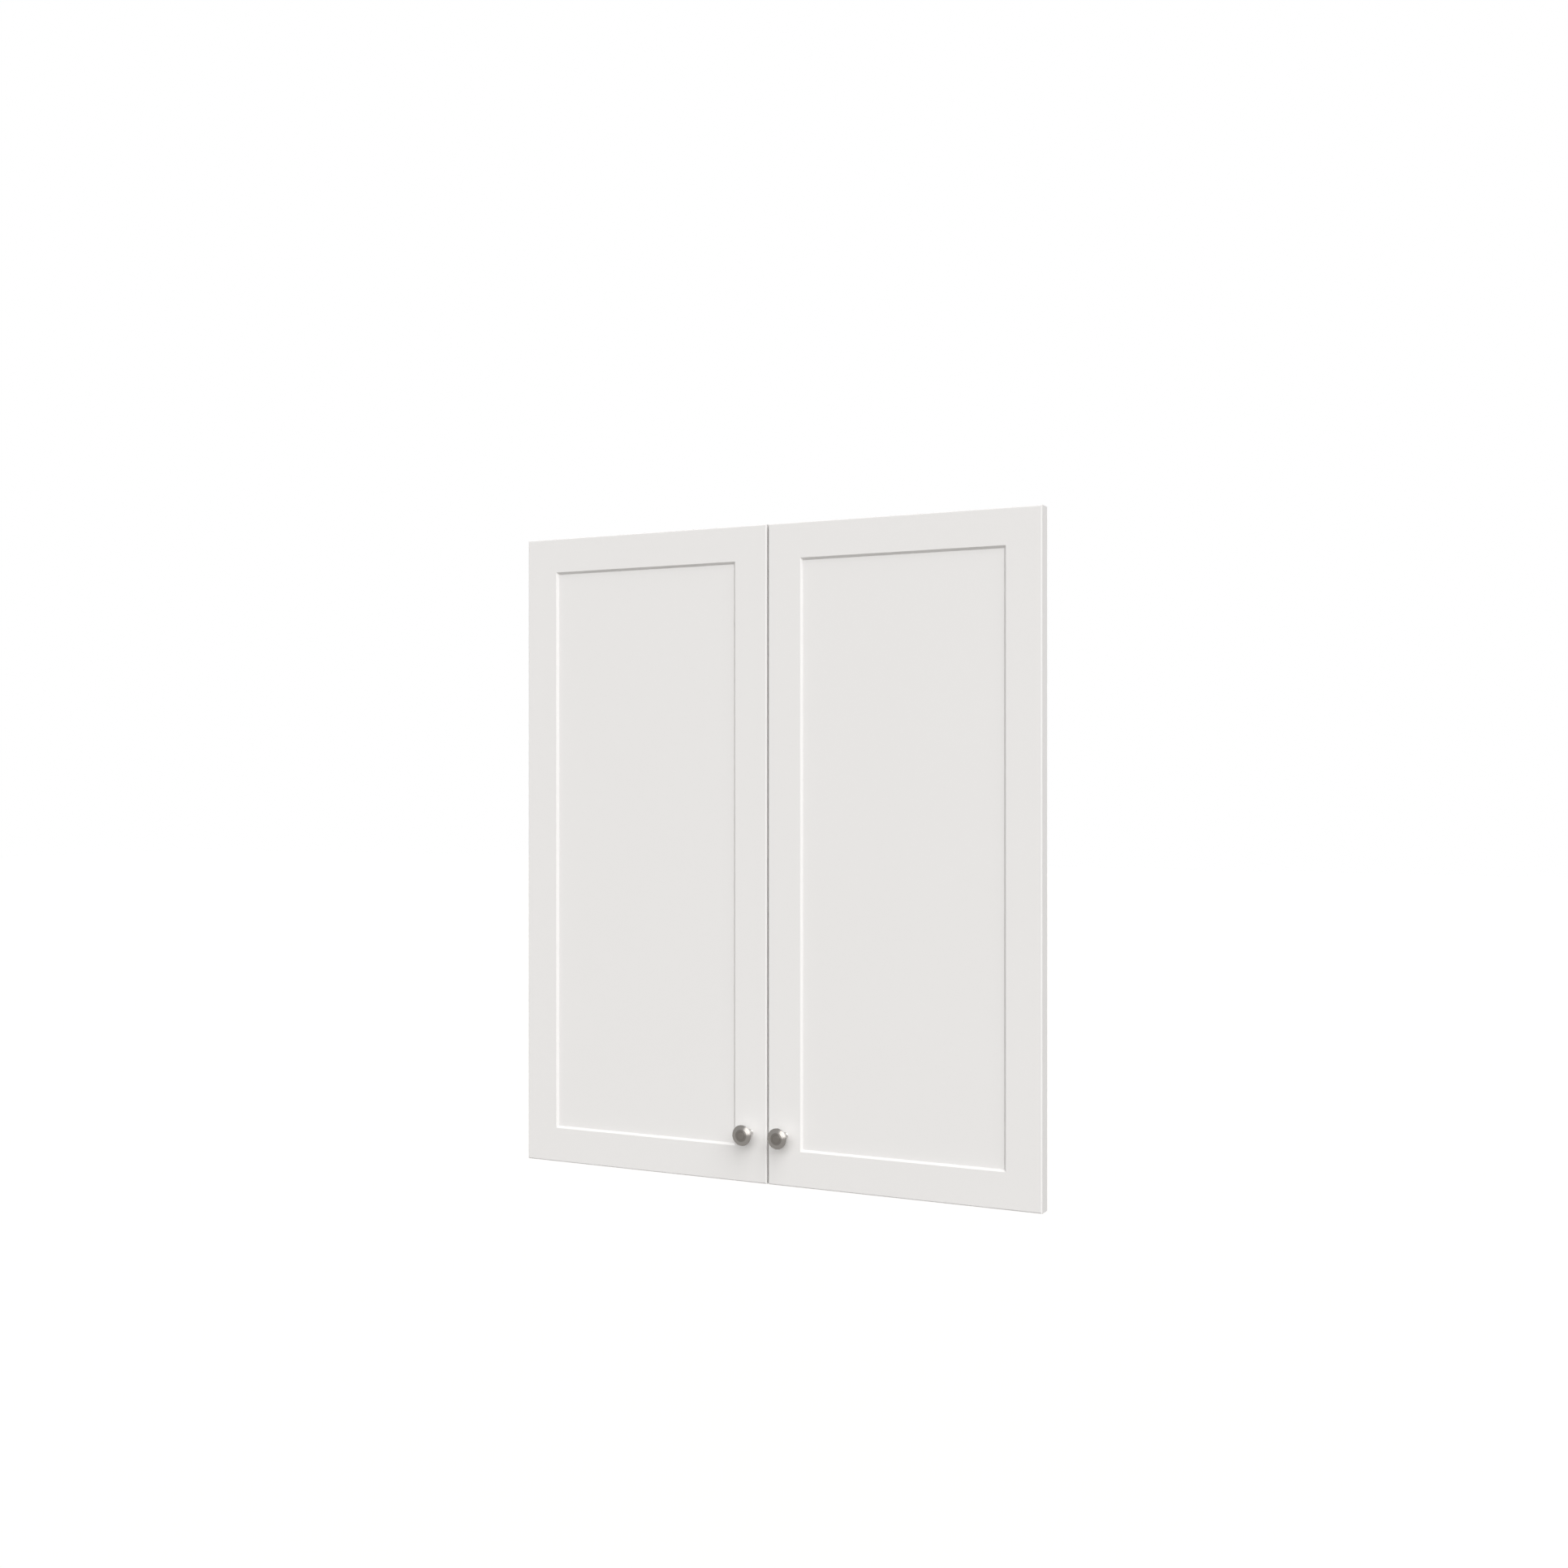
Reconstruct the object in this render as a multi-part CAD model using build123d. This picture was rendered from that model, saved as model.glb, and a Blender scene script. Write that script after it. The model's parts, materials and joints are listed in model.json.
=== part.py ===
from build123d import *
import os

# A pair of framed wall-cabinet doors on concealed single-pivot cup hinges.
# X runs to the right as seen from the front, Y runs into the cabinet and Z is up.
# The origin is midway between the two doors, at their bottom edge, on their back plane.
# Each piece is drawn for the left door, with X counted inwards from its hinge edge.
# It is then moved to the left side, or mirrored to the right side. Millimetres.

# Cabinet front that the pair covers
CABINET_WIDTH = 800.0
CABINET_HEIGHT = 920.0
SIDE_THICKNESS = 18.0
REVEAL = 1.5
DOOR_GAP = 2.5
FRONT_GAP = 2.5

# Door frame
DOOR_THICKNESS = 22.0
EDGE_RADIUS = 1.8
FRAME_FACE = 49.5
BEVEL = 3.0
ARRIS_RADIUS = 0.8
GROOVE_WIDTH = 8.0
GROOVE_DEPTH = 9.0

# Panel
PANEL_THICKNESS = 16.0
PANEL_PLAY = 0.1
TONGUE_PLAY = 0.1
TONGUE_END_PLAY = 0.5

# Hinge cup, let into the back of the hinge stile
HINGE_END_DISTANCE = 105.0
CUP_DIAMETER = 35.0
CUP_EDGE_DISTANCE = 3.0
CUP_WALL = 1.0
CUP_FLOOR = 1.0
CUP_PLAY = 0.1
FLANGE_THICKNESS = 1.2
FLANGE_RIM = 2.0
EAR_RADIUS = 7.0
EAR_SPACING = 45.0
EAR_OFFSET = 9.5

# Hinge pin and the arm's nose that turns on it
PIN_RADIUS = 1.0
PIN_LENGTH = 16.4
PIN_INSET = 4.2
PIN_DEPTH = 10.0
PIN_RUNNING_FIT = 0.05
SEAT_FIT = 0.02
KNUCKLE_RADIUS = 2.0
KNUCKLE_PLAY = 0.5
NOSE_WIDTH = 9.0
NOSE_SIDE_PLAY = 0.5
LEG_THICKNESS = 2.2
NECK_THICKNESS = 2.8
NECK_RADIUS = 1.6
OPEN_CLEARANCE = 1.8

# Mounting plate, screwed to the inside of the cabinet's side
PLATE_SETBACK = 37.0
PLATE_HOLE_SPACING = 32.0
PLATE_HOLE_RADIUS = 2.5
PLATE_THICKNESS = 2.0
WING_WIDTH = 13.0
WING_END_RADIUS = 6.5
SPINE_WIDTH = 9.4
SPINE_HEIGHT = 5.5
SPINE_AHEAD = 15.0
SPINE_BEHIND = 8.5

# Hinge arm, a channel that sits over the plate's spine
ARM_SETBACK = 1.0
ARM_BLOCK = 5.0
ARM_WALL = 1.5
ARM_SKIN = 1.6
ARM_SIDE_PLAY = 0.3
ARM_TAIL = 2.0

# Screws
CUP_SCREW_RADIUS = 1.6
CUP_SCREW_DEPTH = 12.0
CUP_SCREW_HEAD_RADIUS = 3.6
CUP_SCREW_HEAD_HEIGHT = 1.8
CLAMP_SCREW_RADIUS = 2.5
CLAMP_SCREW_DEPTH = 5.0
CLAMP_SCREW_HEAD_RADIUS = 4.2
CLAMP_SCREW_HEAD_HEIGHT = 2.4
CLAMP_BEHIND = 3.5
ADJUSTER_RADIUS = 2.0
ADJUSTER_DEPTH = 4.5
ADJUSTER_HEAD_RADIUS = 3.3
ADJUSTER_HEAD_HEIGHT = 1.6
ADJUSTER_AHEAD = 9.0
SCREW_HOLE_PLAY = 0.3
DRIVE_WIDTH = 0.9
DRIVE_DEPTH = 0.8

# Knob and its screw
KNOB_ABOVE_EDGE = 69.6
KNOB_INSET = 26.0
KNOB_FOOT_RADIUS = 5.2
KNOB_FOOT_HEIGHT = 1.4
KNOB_NECK_RADIUS = 4.6
KNOB_NECK_HEIGHT = 3.4
KNOB_HEAD_RADIUS = 14.4
KNOB_FLANK_HEIGHT = 24.65
KNOB_RIM_RADIUS = 0.5
KNOB_BAND_BULGE = 0.15
KNOB_FACE_RADIUS = 8.2
KNOB_HEIGHT = 28.65
KNOB_CROWN = 0.8
KNOB_RING_RADIUS = 5.6
KNOB_RING_WIDTH = 0.4
KNOB_RING_DEPTH = 0.2
KNOB_SCREW_RADIUS = 2.0
KNOB_SCREW_GRIP = 10.0
KNOB_SCREW_HEAD_RADIUS = 4.2
KNOB_SCREW_HEAD_HEIGHT = 2.4

# Door bumpers on the back
BUMPER_RADIUS = 5.0
BUMPER_THICKNESS = 2.0
BUMPER_INSET = 14.0

# How far a cutting tool runs past the face it leaves
OVERRUN = 1.0

# Places worked out from the sizes above
DOOR_WIDTH = (CABINET_WIDTH - 2 * REVEAL - DOOR_GAP) / 2
DOOR_HEIGHT = CABINET_HEIGHT - 2 * REVEAL
PAIR_HALF_WIDTH = DOOR_WIDTH + DOOR_GAP / 2
FRAME_WIDTH = FRAME_FACE + BEVEL
FRONT_Y = -DOOR_THICKNESS
PANEL_FRONT_Y = FRONT_Y + BEVEL
PANEL_BACK_Y = PANEL_FRONT_Y + PANEL_THICKNESS
GROOVE_Y = (PANEL_FRONT_Y + PANEL_BACK_Y) / 2
CUP_X = CUP_EDGE_DISTANCE + CUP_DIAMETER / 2
CUP_RADIUS = CUP_DIAMETER / 2 - CUP_PLAY
POCKET_RADIUS = CUP_RADIUS - CUP_WALL
POCKET_HALF_WIDTH = NOSE_WIDTH / 2 + NOSE_SIDE_PLAY
POCKET_DEPTH = PIN_DEPTH + KNUCKLE_RADIUS + KNUCKLE_PLAY
CUP_DEPTH = POCKET_DEPTH + CUP_FLOOR
EAR_X = CUP_X + EAR_OFFSET
PIN_X = CUP_EDGE_DISTANCE + PIN_INSET
NECK_X = PIN_X + PIN_DEPTH + OPEN_CLEARANCE
PLATE_X = SIDE_THICKNESS - REVEAL
PLATE_TOP_X = PLATE_X + PLATE_THICKNESS
SPINE_TOP_X = PLATE_TOP_X + SPINE_HEIGHT
ARM_TOP_X = SPINE_TOP_X + ARM_SKIN
PLATE_Y = FRONT_GAP + PLATE_SETBACK
ARM_Y = FRONT_GAP + ARM_SETBACK
ARM_END_Y = PLATE_Y + SPINE_BEHIND + ARM_TAIL
ARM_HALF_WIDTH = SPINE_WIDTH / 2 + ARM_SIDE_PLAY + ARM_WALL
CLAMP_Y = PLATE_Y + CLAMP_BEHIND
ADJUSTER_Y = PLATE_Y - ADJUSTER_AHEAD
KNOB_X = DOOR_WIDTH - KNOB_INSET
KNOB_CROWN_RADIUS = (KNOB_FACE_RADIUS**2 + KNOB_CROWN**2) / (2 * KNOB_CROWN)
HINGE_HEIGHTS = {"lower": HINGE_END_DISTANCE, "upper": DOOR_HEIGHT - HINGE_END_DISTANCE}


def block(x, y, z):
    """Box between pairs of low and high coordinates."""
    size = [high - low for low, high in (x, y, z)]
    centre = [(high + low) / 2 for low, high in (x, y, z)]
    return Pos(*centre) * Box(*size)


def rod_x(radius, x, y, z):
    """Round bar along X between two X coordinates."""
    return Pos((x[0] + x[1]) / 2, y, z) * Rot(0, 90, 0) * Cylinder(radius, x[1] - x[0])


def rod_y(radius, x, y, z):
    """Round bar along Y between two Y coordinates."""
    return Pos(x, (y[0] + y[1]) / 2, z) * Rot(90, 0, 0) * Cylinder(radius, y[1] - y[0])


def rod_z(radius, x, y, z):
    """Round bar along Z between two Z coordinates."""
    return Pos(x, y, (z[0] + z[1]) / 2) * Cylinder(radius, z[1] - z[0])


def ear_heights():
    """Heights of the two cup screws, counted from the hinge's middle."""
    return (-EAR_SPACING / 2, EAR_SPACING / 2)


def plate_hole_heights():
    """Heights of the two plate screw holes, counted from the hinge's middle."""
    return (-PLATE_HOLE_SPACING / 2, PLATE_HOLE_SPACING / 2)


def eased_section(width, height):
    """Rectangle with eased corners."""
    return RectangleRounded(width, height, EDGE_RADIUS)


def door_blank():
    """The whole leaf as one board, its front and back edges eased and its corners mitred."""
    middle = (DOOR_WIDTH / 2, FRONT_Y / 2, DOOR_HEIGHT / 2)
    along_z = extrude(eased_section(DOOR_WIDTH, DOOR_THICKNESS), DOOR_HEIGHT / 2, both=True)
    along_x = extrude(Plane.YZ * eased_section(DOOR_THICKNESS, DOOR_HEIGHT), DOOR_WIDTH / 2, both=True)
    return Pos(*middle) * (along_z & along_x)


def frame_section():
    """Section of a frame member: X is counted from the leaf's edge, Y from its back plane."""
    groove_floor = FRAME_WIDTH - GROOVE_DEPTH
    groove_front = GROOVE_Y - GROOVE_WIDTH / 2
    groove_back = GROOVE_Y + GROOVE_WIDTH / 2
    outline = Polyline(
        (0, FRONT_Y),
        (FRAME_FACE, FRONT_Y),
        (FRAME_WIDTH, PANEL_FRONT_Y),
        (FRAME_WIDTH, groove_front),
        (groove_floor, groove_front),
        (groove_floor, groove_back),
        (FRAME_WIDTH, groove_back),
        (FRAME_WIDTH, 0),
        (0, 0),
        close=True,
    )
    section = make_face(outline)
    arris = section.vertices().sort_by_distance((FRAME_FACE, FRONT_Y, 0))[0]
    return fillet(arris, ARRIS_RADIUS)


def stile_bar():
    """Grooved and bevelled bar that runs the leaf's full height at the hinge edge."""
    return extrude(frame_section(), DOOR_HEIGHT, dir=(0, 0, 1))


def rail_bar():
    """Grooved and bevelled bar along the bottom edge, long enough for its two tenons."""
    start = FRAME_WIDTH - GROOVE_DEPTH
    across = Plane((start, 0, 0), x_dir=(0, 0, 1), z_dir=(-1, 0, 0))
    return extrude(across * frame_section(), DOOR_WIDTH - 2 * start, dir=(1, 0, 0))


def other_side(piece):
    """Mirror image across the leaf's upright middle."""
    return mirror(piece, about=Plane.YZ.offset(DOOR_WIDTH / 2))


def other_end(piece):
    """Mirror image across the leaf's level middle."""
    return mirror(piece, about=Plane.XY.offset(DOOR_HEIGHT / 2))


def hinge_stile(blank):
    """Stile with a cup bore and two pilot holes for each hinge."""
    stile = stile_bar() & blank
    for height in HINGE_HEIGHTS.values():
        stile -= rod_y(CUP_DIAMETER / 2, CUP_X, (-CUP_DEPTH - CUP_PLAY, OVERRUN), height)
        for ear in ear_heights():
            depth = (-CUP_SCREW_DEPTH, OVERRUN)
            stile -= rod_y(CUP_SCREW_RADIUS + SEAT_FIT, EAR_X, depth, height + ear)
    return stile


def meeting_stile(blank):
    """Stile at the meeting edge, drilled through for the knob's screw."""
    stile = other_side(stile_bar()) & blank
    through = (FRONT_Y - OVERRUN, OVERRUN)
    return stile - rod_y(KNOB_SCREW_RADIUS + SCREW_HOLE_PLAY, KNOB_X, through, KNOB_ABOVE_EDGE)


def bottom_rail(blank):
    """Rail whose ends are coped over the stiles' bevels and tenoned into their grooves."""
    stiles = stile_bar() + other_side(stile_bar())
    return (rail_bar() & blank) - stiles


def panel():
    """Flat panel with a tongue all round that sits in the frame's grooves."""
    field_edge = FRAME_WIDTH + PANEL_PLAY
    tongue_edge = FRAME_WIDTH - GROOVE_DEPTH + TONGUE_END_PLAY
    tongue_half = GROOVE_WIDTH / 2 - TONGUE_PLAY
    field = block(
        (field_edge, DOOR_WIDTH - field_edge),
        (PANEL_FRONT_Y, PANEL_BACK_Y),
        (field_edge, DOOR_HEIGHT - field_edge),
    )
    tongue = block(
        (tongue_edge, DOOR_WIDTH - tongue_edge),
        (GROOVE_Y - tongue_half, GROOVE_Y + tongue_half),
        (tongue_edge, DOOR_HEIGHT - tongue_edge),
    )
    return field + tongue


def crown_point(radius, sunk=0):
    """Point of the knob's profile on its gently crowned face, or sunk below it."""
    fall = KNOB_CROWN_RADIUS - (KNOB_CROWN_RADIUS**2 - radius**2) ** 0.5
    return (radius, KNOB_HEIGHT - fall - sunk)


def crown_arc(outer, inner):
    """Stretch of the knob's crowned face between two radii."""
    return ThreePointArc(crown_point(outer), crown_point((outer + inner) / 2), crown_point(inner))


def knob():
    """Turned knob: small foot, cone that widens to a round rim, sloping band and crowned face."""
    rim_inner = KNOB_HEAD_RADIUS - KNOB_RIM_RADIUS
    rim_middle = KNOB_FLANK_HEIGHT + KNOB_RIM_RADIUS
    rim_top = KNOB_FLANK_HEIGHT + 2 * KNOB_RIM_RADIUS
    face_edge = crown_point(KNOB_FACE_RADIUS)
    band_radius = (rim_inner + KNOB_FACE_RADIUS) / 2 + KNOB_BAND_BULGE
    band_height = (rim_top + face_edge[1]) / 2 + KNOB_BAND_BULGE
    step = KNOB_RING_WIDTH
    outer_floor = crown_point(KNOB_FACE_RADIUS - step, KNOB_RING_DEPTH)
    inner_floor = crown_point(KNOB_RING_RADIUS, KNOB_RING_DEPTH)
    ring_outer = KNOB_RING_RADIUS + step
    ring_inner = KNOB_RING_RADIUS - step
    profile = Polyline(
        (0, 0),
        (KNOB_FOOT_RADIUS, 0),
        (KNOB_FOOT_RADIUS, KNOB_FOOT_HEIGHT),
        (KNOB_NECK_RADIUS, KNOB_NECK_HEIGHT),
        (rim_inner, KNOB_FLANK_HEIGHT),
    )
    profile += ThreePointArc(
        (rim_inner, KNOB_FLANK_HEIGHT), (KNOB_HEAD_RADIUS, rim_middle), (rim_inner, rim_top)
    )
    profile += ThreePointArc((rim_inner, rim_top), (band_radius, band_height), face_edge)
    profile += Polyline(face_edge, outer_floor, crown_point(KNOB_FACE_RADIUS - 2 * step))
    profile += crown_arc(KNOB_FACE_RADIUS - 2 * step, ring_outer)
    profile += Polyline(crown_point(ring_outer), inner_floor, crown_point(ring_inner))
    profile += crown_arc(ring_inner, 0)
    profile += Line((0, KNOB_HEIGHT), (0, 0))
    turned = revolve(make_face(profile), Axis.Y)
    placed = Pos(KNOB_X, FRONT_Y, KNOB_ABOVE_EDGE) * Rot(180, 0, 0) * turned
    thread_y = (FRONT_Y - KNOB_SCREW_GRIP, FRONT_Y + OVERRUN)
    return placed - rod_y(KNOB_SCREW_RADIUS + SEAT_FIT, KNOB_X, thread_y, KNOB_ABOVE_EDGE)


def knob_screw():
    """Pan-head screw from the back of the meeting stile into the knob."""
    tip = FRONT_Y - KNOB_SCREW_GRIP + SCREW_HOLE_PLAY
    shank = rod_y(KNOB_SCREW_RADIUS, KNOB_X, (tip, 0), KNOB_ABOVE_EDGE)
    head = rod_y(KNOB_SCREW_HEAD_RADIUS, KNOB_X, (0, KNOB_SCREW_HEAD_HEIGHT), KNOB_ABOVE_EDGE)
    return shank + head - drive_y(KNOB_SCREW_HEAD_RADIUS, KNOB_X, KNOB_SCREW_HEAD_HEIGHT, KNOB_ABOVE_EDGE)


def bumpers():
    """Soft discs on the back of the meeting stile, near its two ends."""
    x = DOOR_WIDTH - BUMPER_INSET
    heights = (BUMPER_INSET, DOOR_HEIGHT - BUMPER_INSET)
    return [rod_y(BUMPER_RADIUS, x, (0, BUMPER_THICKNESS), height) for height in heights]


def drive_y(head_radius, x, top, z):
    """Cross recess in a screw head that faces +Y."""
    half = DRIVE_WIDTH / 2
    reach = head_radius / 2
    depth = (top - DRIVE_DEPTH, top + DRIVE_DEPTH)
    upright = block((x - half, x + half), depth, (z - reach, z + reach))
    level = block((x - reach, x + reach), depth, (z - half, z + half))
    return upright + level


def drive_x(head_radius, top, y, z):
    """Cross recess in a screw head that faces +X."""
    half = DRIVE_WIDTH / 2
    reach = head_radius / 2
    depth = (top - DRIVE_DEPTH, top + DRIVE_DEPTH)
    upright = block(depth, (y - half, y + half), (z - reach, z + reach))
    level = block(depth, (y - reach, y + reach), (z - half, z + half))
    return upright + level


def hinge_cup():
    """Cast cup with a flange on the door's back and a pocket for the arm's nose."""
    barrel = rod_y(CUP_RADIUS, CUP_X, (-CUP_DEPTH, 0), 0)
    flange = rod_y(CUP_DIAMETER / 2 + FLANGE_RIM, CUP_X, (0, FLANGE_THICKNESS), 0)
    for ear in ear_heights():
        flange += rod_y(EAR_RADIUS, EAR_X, (0, FLANGE_THICKNESS), ear)
    flange += block(
        (EAR_X - EAR_RADIUS, EAR_X + EAR_RADIUS),
        (0, FLANGE_THICKNESS),
        ear_heights(),
    )
    open_side = block(
        (-CUP_DIAMETER, PIN_X + KNUCKLE_RADIUS + KNUCKLE_PLAY),
        (0, FLANGE_THICKNESS),
        (-CUP_DIAMETER, CUP_DIAMETER),
    )
    well = rod_y(POCKET_RADIUS, CUP_X, (-POCKET_DEPTH, FLANGE_THICKNESS), 0)
    slot = block(
        (CUP_X - CUP_DIAMETER, CUP_X + CUP_DIAMETER),
        (-POCKET_DEPTH, FLANGE_THICKNESS),
        (-POCKET_HALF_WIDTH, POCKET_HALF_WIDTH),
    )
    cup = barrel + (flange - open_side) - (well & slot)
    cup -= rod_z(PIN_RADIUS + SEAT_FIT, PIN_X, -PIN_DEPTH, (-PIN_LENGTH / 2, PIN_LENGTH / 2))
    for ear in ear_heights():
        through = (-OVERRUN, FLANGE_THICKNESS + OVERRUN)
        cup -= rod_y(CUP_SCREW_RADIUS + SCREW_HOLE_PLAY, EAR_X, through, ear)
    return cup


def hinge_pin():
    """Steel pin across the cup's pocket."""
    return rod_z(PIN_RADIUS, PIN_X, -PIN_DEPTH, (-PIN_LENGTH / 2, PIN_LENGTH / 2))


def cup_screws(height):
    """The two wood screws of one cup."""
    screws = []
    for ear in ear_heights():
        z = height + ear
        top = FLANGE_THICKNESS + CUP_SCREW_HEAD_HEIGHT
        tip = -CUP_SCREW_DEPTH + SCREW_HOLE_PLAY
        shank = rod_y(CUP_SCREW_RADIUS, EAR_X, (tip, FLANGE_THICKNESS), z)
        head = rod_y(CUP_SCREW_HEAD_RADIUS, EAR_X, (FLANGE_THICKNESS, top), z)
        screws.append(shank + head - drive_y(CUP_SCREW_HEAD_RADIUS, EAR_X, top, z))
    return screws


def hinge_arm():
    """Arm: a knuckle on the pin, a goose neck out of the cup, and a channel over the plate."""
    half_nose = (-NOSE_WIDTH / 2, NOSE_WIDTH / 2)
    half_arm = (-ARM_HALF_WIDTH, ARM_HALF_WIDTH)
    neck_far = NECK_X + NECK_THICKNESS
    leg_low = -PIN_DEPTH - LEG_THICKNESS / 2
    leg_high = -PIN_DEPTH + LEG_THICKNESS / 2
    neck_outline = Polyline(
        (PIN_X, leg_low),
        (neck_far, leg_low),
        (neck_far, ARM_Y + ARM_BLOCK),
        (NECK_X, ARM_Y + ARM_BLOCK),
        (NECK_X, leg_high),
        (PIN_X, leg_high),
        close=True,
    )
    neck = Pos(0, 0, -NOSE_WIDTH / 2) * extrude(make_face(neck_outline), NOSE_WIDTH)
    bend = neck.edges().filter_by(Axis.Z).sort_by(lambda edge: edge.center().X - edge.center().Y)[-1]
    neck = fillet(bend, NECK_RADIUS)
    knuckle = rod_z(KNUCKLE_RADIUS, PIN_X, -PIN_DEPTH, half_nose)
    root = block((NECK_X, ARM_TOP_X), (ARM_Y, ARM_Y + ARM_BLOCK), half_arm)
    channel = block((PLATE_TOP_X + ARM_SIDE_PLAY, ARM_TOP_X), (ARM_Y, ARM_END_Y), half_arm)
    inside = block(
        (PLATE_TOP_X, SPINE_TOP_X),
        (ARM_Y + ARM_BLOCK, ARM_END_Y),
        (-ARM_HALF_WIDTH + ARM_WALL, ARM_HALF_WIDTH - ARM_WALL),
    )
    arm = neck + knuckle + root + (channel - inside)
    arm -= rod_z(PIN_RADIUS + PIN_RUNNING_FIT, PIN_X, -PIN_DEPTH, half_nose)
    for radius, y in ((CLAMP_SCREW_RADIUS, CLAMP_Y), (ADJUSTER_RADIUS, ADJUSTER_Y)):
        arm -= rod_x(radius + SCREW_HOLE_PLAY, (SPINE_TOP_X - OVERRUN, ARM_TOP_X + OVERRUN), y, 0)
    return arm


def mounting_plate():
    """Cross-shaped plate with a raised spine, two screw holes and two threaded holes."""
    wings = block(
        (PLATE_X, PLATE_TOP_X),
        (PLATE_Y - WING_WIDTH / 2, PLATE_Y + WING_WIDTH / 2),
        plate_hole_heights(),
    )
    for height in plate_hole_heights():
        wings += rod_x(WING_END_RADIUS, (PLATE_X, PLATE_TOP_X), PLATE_Y, height)
    spine = block(
        (PLATE_X, SPINE_TOP_X),
        (PLATE_Y - SPINE_AHEAD, PLATE_Y + SPINE_BEHIND),
        (-SPINE_WIDTH / 2, SPINE_WIDTH / 2),
    )
    plate = wings + spine
    for height in plate_hole_heights():
        plate -= rod_x(PLATE_HOLE_RADIUS, (PLATE_X - OVERRUN, PLATE_TOP_X + OVERRUN), PLATE_Y, height)
    for radius, depth, y in (
        (CLAMP_SCREW_RADIUS, CLAMP_SCREW_DEPTH, CLAMP_Y),
        (ADJUSTER_RADIUS, ADJUSTER_DEPTH, ADJUSTER_Y),
    ):
        hole = (SPINE_TOP_X - depth - SCREW_HOLE_PLAY, SPINE_TOP_X + OVERRUN)
        plate -= rod_x(radius + SEAT_FIT, hole, y, 0)
    return plate


def arm_screw(radius, depth, head_radius, head_height, y):
    """Screw through the arm's skin into the plate's spine."""
    top = ARM_TOP_X + head_height
    shank = rod_x(radius, (SPINE_TOP_X - depth, ARM_TOP_X), y, 0)
    head = rod_x(head_radius, (ARM_TOP_X, top), y, 0)
    return shank + head - drive_x(head_radius, top, y, 0)


def clamp_screw():
    """Screw at the back of the arm that clamps it to the plate."""
    return arm_screw(
        CLAMP_SCREW_RADIUS, CLAMP_SCREW_DEPTH, CLAMP_SCREW_HEAD_RADIUS, CLAMP_SCREW_HEAD_HEIGHT, CLAMP_Y
    )


def adjuster():
    """Screw ahead of the clamp screw that sets the door sideways."""
    return arm_screw(
        ADJUSTER_RADIUS, ADJUSTER_DEPTH, ADJUSTER_HEAD_RADIUS, ADJUSTER_HEAD_HEIGHT, ADJUSTER_Y
    )


def on_side(side, piece):
    """Take a left-door piece to its own side of the pair."""
    if side == "left":
        return Pos(-PAIR_HALF_WIDTH, 0, 0) * piece
    return Pos(PAIR_HALF_WIDTH, 0, 0) * mirror(piece, about=Plane.YZ)


def at_height(height, piece):
    """Lift a hinge piece to its hinge's height."""
    return Pos(0, 0, height) * piece


def write(name, pieces):
    """Save one node, made of one or more separate solids."""
    solids = [solid for piece in pieces for solid in piece.solids()]
    export_step(Compound(children=solids), os.path.join("parts", name + ".step"))


os.makedirs("parts", exist_ok=True)
leaf = door_blank()
leaf_pieces = {
    "hinge_stile": [hinge_stile(leaf)],
    "meeting_stile": [meeting_stile(leaf)],
    "bottom_rail": [bottom_rail(leaf)],
    "top_rail": [other_end(bottom_rail(leaf))],
    "panel": [panel()],
    "knob": [knob()],
    "knob_screw": [knob_screw()],
    "bumpers": bumpers(),
    "cup_screws": [screw for height in HINGE_HEIGHTS.values() for screw in cup_screws(height)],
}
hinge_pieces = {
    "hinge_cup": hinge_cup(),
    "hinge_pin": hinge_pin(),
    "hinge_arm": hinge_arm(),
    "mounting_plate": mounting_plate(),
}
arm_screws = {"clamp_screws": clamp_screw(), "adjusting_screws": adjuster()}

for side in ("left", "right"):
    for name, pieces in leaf_pieces.items():
        write(f"{side}_{name}", [on_side(side, piece) for piece in pieces])
    for level, height in HINGE_HEIGHTS.items():
        for name, piece in hinge_pieces.items():
            write(f"{side}_{level}_{name}", [on_side(side, at_height(height, piece))])
    for name, piece in arm_screws.items():
        lifted = [at_height(height, piece) for height in HINGE_HEIGHTS.values()]
        write(f"{side}_{name}", [on_side(side, screw) for screw in lifted])
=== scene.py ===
# %% [markdown]
# # A pair of wall-cabinet doors
# Two white framed doors hang side by side and close one wall cabinet. Each has a flat panel set back
# in a bevelled frame, a turned metal knob low at the meeting edge, and two concealed hinges behind.
# The solids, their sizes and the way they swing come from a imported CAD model, which is loaded first
# and stays where it is. This script adds the finishes, the turned and pressed details, the light and
# the camera.

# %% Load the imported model
import bpy
import bmesh
import json
from math import cos, pi, radians, sin
from mathutils import Matrix, Vector


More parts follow.
